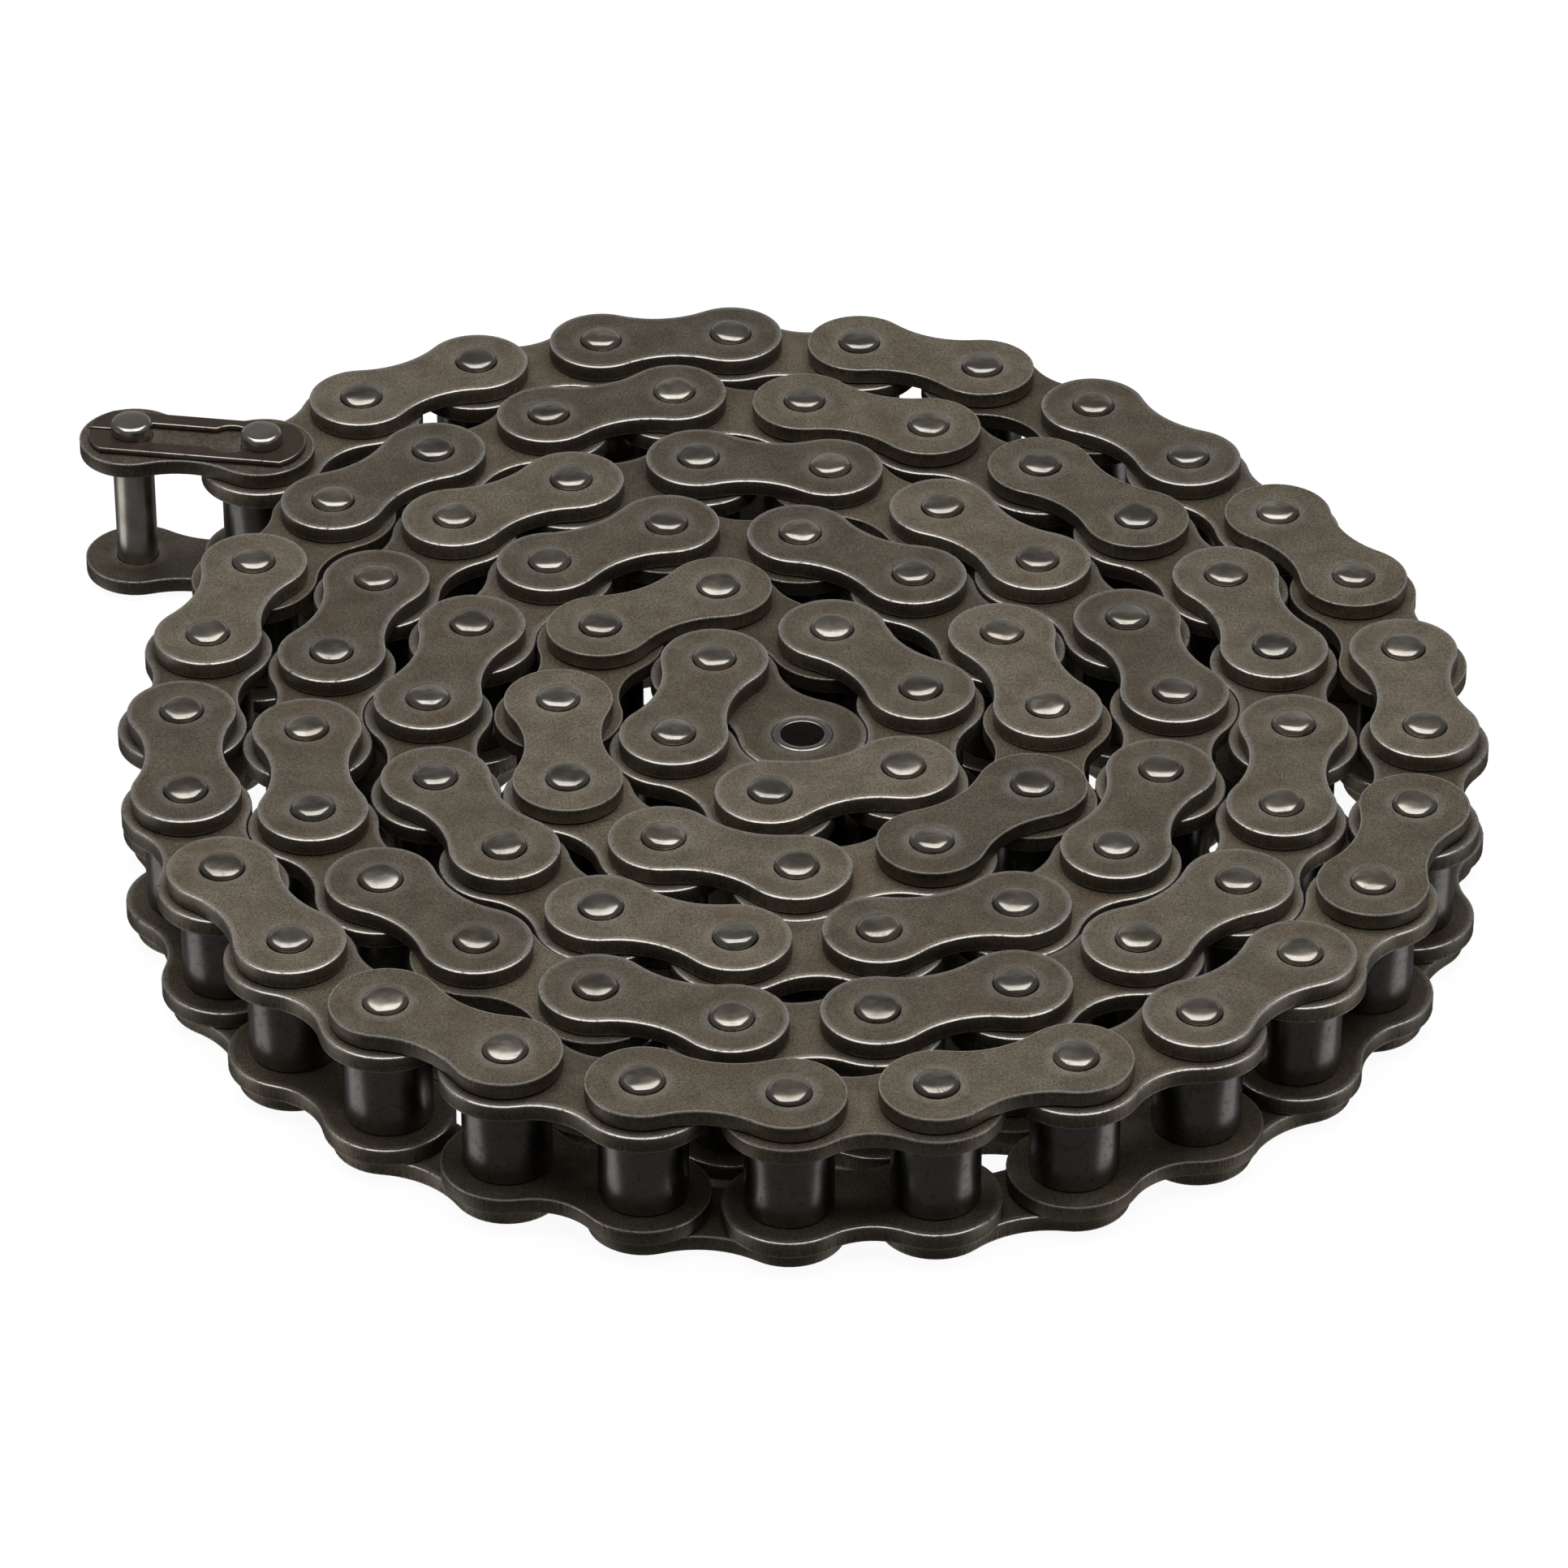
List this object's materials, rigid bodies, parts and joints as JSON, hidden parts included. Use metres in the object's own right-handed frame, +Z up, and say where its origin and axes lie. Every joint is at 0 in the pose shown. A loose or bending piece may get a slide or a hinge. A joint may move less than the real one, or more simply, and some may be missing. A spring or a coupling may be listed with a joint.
{
  "type": "roller chain",
  "caption": "Motorcycle drive chain: a three-quarter-inch-pitch roller chain with a spring-clip connecting link, lying coiled up flat.",
  "frame": {"origin": "middle of the free bush at the chain's inner end, on its axis and on the chain's middle plane", "axes": "+Z up from the surface that the chain lies on, parallel to every pin; +X to the right and +Y away from a viewer who has the connecting link at the upper left"},
  "size_m": [0.1978, 0.2025, 0.0266],
  "materials": {
    "outer_plate": "oiled blued steel",
    "inner_plate": "oiled blued steel",
    "pin": "oiled bright steel",
    "bush": "oiled steel",
    "roller": "oiled, polished by wear",
    "clip": "oiled blued spring steel"
  },
  "bodies": {
    "coil": {"coil_outer_plates": "outer_plate", "coil_pins": "pin", "coil_inner_plates": "inner_plate", "coil_bushes": "bush", "coil_rollers": "roller", "end_link_plates": "inner_plate", "end_link_bushes": "bush", "end_link_rollers": "roller"},
    "link_13": {"link_13_top_plate": "outer_plate", "link_13_bottom_plate": "outer_plate", "link_13_pins": "pin"},
    "link_12": {"link_12_top_plate": "inner_plate", "link_12_bottom_plate": "inner_plate", "link_12_bushes": "bush"},
    "link_11": {"link_11_top_plate": "outer_plate", "link_11_bottom_plate": "outer_plate", "link_11_pins": "pin"},
    "link_10": {"link_10_top_plate": "inner_plate", "link_10_bottom_plate": "inner_plate", "link_10_bushes": "bush"},
    "link_09": {"link_09_top_plate": "outer_plate", "link_09_bottom_plate": "outer_plate", "link_09_pins": "pin"},
    "link_08": {"link_08_top_plate": "inner_plate", "link_08_bottom_plate": "inner_plate", "link_08_bushes": "bush"},
    "link_07": {"link_07_top_plate": "outer_plate", "link_07_bottom_plate": "outer_plate", "link_07_pins": "pin"},
    "link_06": {"link_06_top_plate": "inner_plate", "link_06_bottom_plate": "inner_plate", "link_06_bushes": "bush"},
    "link_05": {"link_05_top_plate": "outer_plate", "link_05_bottom_plate": "outer_plate", "link_05_pins": "pin"},
    "link_04": {"link_04_top_plate": "inner_plate", "link_04_bottom_plate": "inner_plate", "link_04_bushes": "bush"},
    "link_03": {"link_03_top_plate": "outer_plate", "link_03_bottom_plate": "outer_plate", "link_03_pins": "pin"},
    "link_02": {"link_02_top_plate": "inner_plate", "link_02_bottom_plate": "inner_plate", "link_02_bushes": "bush"},
    "connecting_link": {"connecting_pin_plate": "outer_plate", "connecting_pins": "pin", "connecting_cover_plate": "outer_plate", "spring_clip": "clip"},
    "link_12_roller_1": {"link_12_roller_1": "roller"},
    "link_12_roller_2": {"link_12_roller_2": "roller"},
    "link_10_roller_1": {"link_10_roller_1": "roller"},
    "link_10_roller_2": {"link_10_roller_2": "roller"},
    "link_08_roller_1": {"link_08_roller_1": "roller"},
    "link_08_roller_2": {"link_08_roller_2": "roller"},
    "link_06_roller_1": {"link_06_roller_1": "roller"},
    "link_06_roller_2": {"link_06_roller_2": "roller"},
    "link_04_roller_1": {"link_04_roller_1": "roller"},
    "link_04_roller_2": {"link_04_roller_2": "roller"},
    "link_02_roller_1": {"link_02_roller_1": "roller"},
    "link_02_roller_2": {"link_02_roller_2": "roller"}
  },
  "joints": [
    {"name": "hinge_13", "type": "hinge", "parent": "coil", "child": "link_13", "pos_m": [0.08506, -0.00179, 0], "axis": [0, 0, -1], "range_deg": [0, 32]},
    {"name": "hinge_12", "type": "hinge", "parent": "link_13", "child": "link_12", "pos_m": [0.0833, 0.01717, 0], "axis": [0, 0, -1], "range_deg": [0, 32]},
    {"name": "hinge_11", "type": "hinge", "parent": "link_12", "child": "link_11", "pos_m": [0.07741, 0.03529, 0], "axis": [0, 0, -1], "range_deg": [0, 32]},
    {"name": "hinge_10", "type": "hinge", "parent": "link_11", "child": "link_10", "pos_m": [0.06758, 0.05161, 0], "axis": [0, 0, -1], "range_deg": [0, 32]},
    {"name": "hinge_09", "type": "hinge", "parent": "link_10", "child": "link_09", "pos_m": [0.05546, 0.06631, 0], "axis": [0, 0, -1], "range_deg": [0, 32]},
    {"name": "hinge_08", "type": "hinge", "parent": "link_09", "child": "link_08", "pos_m": [0.04228, 0.08006, 0], "axis": [0, 0, -1], "range_deg": [0, 32]},
    {"name": "hinge_07", "type": "hinge", "parent": "link_08", "child": "link_07", "pos_m": [0.02639, 0.09057, 0], "axis": [0, 0, -1], "range_deg": [0, 32]},
    {"name": "hinge_06", "type": "hinge", "parent": "link_07", "child": "link_06", "pos_m": [0.00853, 0.09721, 0], "axis": [0, 0, -1], "range_deg": [0, 32]},
    {"name": "hinge_05", "type": "hinge", "parent": "link_06", "child": "link_05", "pos_m": [-0.01034, 0.09976, 0], "axis": [0, 0, -1], "range_deg": [0, 32]},
    {"name": "hinge_04", "type": "hinge", "parent": "link_05", "child": "link_04", "pos_m": [-0.02931, 0.09798, 0], "axis": [0, 0, -1], "range_deg": [0, 32]},
    {"name": "hinge_03", "type": "hinge", "parent": "link_04", "child": "link_03", "pos_m": [-0.04742, 0.09206, 0], "axis": [0, 0, -1], "range_deg": [0, 32]},
    {"name": "hinge_02", "type": "hinge", "parent": "link_03", "child": "link_02", "pos_m": [-0.06378, 0.0823, 0], "axis": [0, 0, -1], "range_deg": [0, 32]},
    {"name": "hinge_01", "type": "hinge", "parent": "link_02", "child": "connecting_link", "pos_m": [-0.07751, 0.06909, 0], "axis": [0, 0, -1], "range_deg": [-70, 70]},
    {"name": "spin_12_1", "type": "hinge", "parent": "link_12", "child": "link_12_roller_1", "pos_m": [0.07741, 0.03529, 0], "axis": [0, 0, 1], "continuous": true},
    {"name": "spin_12_2", "type": "hinge", "parent": "link_12", "child": "link_12_roller_2", "pos_m": [0.0833, 0.01717, 0], "axis": [0, 0, 1], "continuous": true},
    {"name": "spin_10_1", "type": "hinge", "parent": "link_10", "child": "link_10_roller_1", "pos_m": [0.05546, 0.06631, 0], "axis": [0, 0, 1], "continuous": true},
    {"name": "spin_10_2", "type": "hinge", "parent": "link_10", "child": "link_10_roller_2", "pos_m": [0.06758, 0.05161, 0], "axis": [0, 0, 1], "continuous": true},
    {"name": "spin_08_1", "type": "hinge", "parent": "link_08", "child": "link_08_roller_1", "pos_m": [0.02639, 0.09057, 0], "axis": [0, 0, 1], "continuous": true},
    {"name": "spin_08_2", "type": "hinge", "parent": "link_08", "child": "link_08_roller_2", "pos_m": [0.04228, 0.08006, 0], "axis": [0, 0, 1], "continuous": true},
    {"name": "spin_06_1", "type": "hinge", "parent": "link_06", "child": "link_06_roller_1", "pos_m": [-0.01034, 0.09976, 0], "axis": [0, 0, 1], "continuous": true},
    {"name": "spin_06_2", "type": "hinge", "parent": "link_06", "child": "link_06_roller_2", "pos_m": [0.00853, 0.09721, 0], "axis": [0, 0, 1], "continuous": true},
    {"name": "spin_04_1", "type": "hinge", "parent": "link_04", "child": "link_04_roller_1", "pos_m": [-0.04742, 0.09206, 0], "axis": [0, 0, 1], "continuous": true},
    {"name": "spin_04_2", "type": "hinge", "parent": "link_04", "child": "link_04_roller_2", "pos_m": [-0.02931, 0.09798, 0], "axis": [0, 0, 1], "continuous": true},
    {"name": "spin_02_1", "type": "hinge", "parent": "link_02", "child": "link_02_roller_1", "pos_m": [-0.07751, 0.06909, 0], "axis": [0, 0, 1], "continuous": true},
    {"name": "spin_02_2", "type": "hinge", "parent": "link_02", "child": "link_02_roller_2", "pos_m": [-0.06378, 0.0823, 0], "axis": [0, 0, 1], "continuous": true}
  ]
}
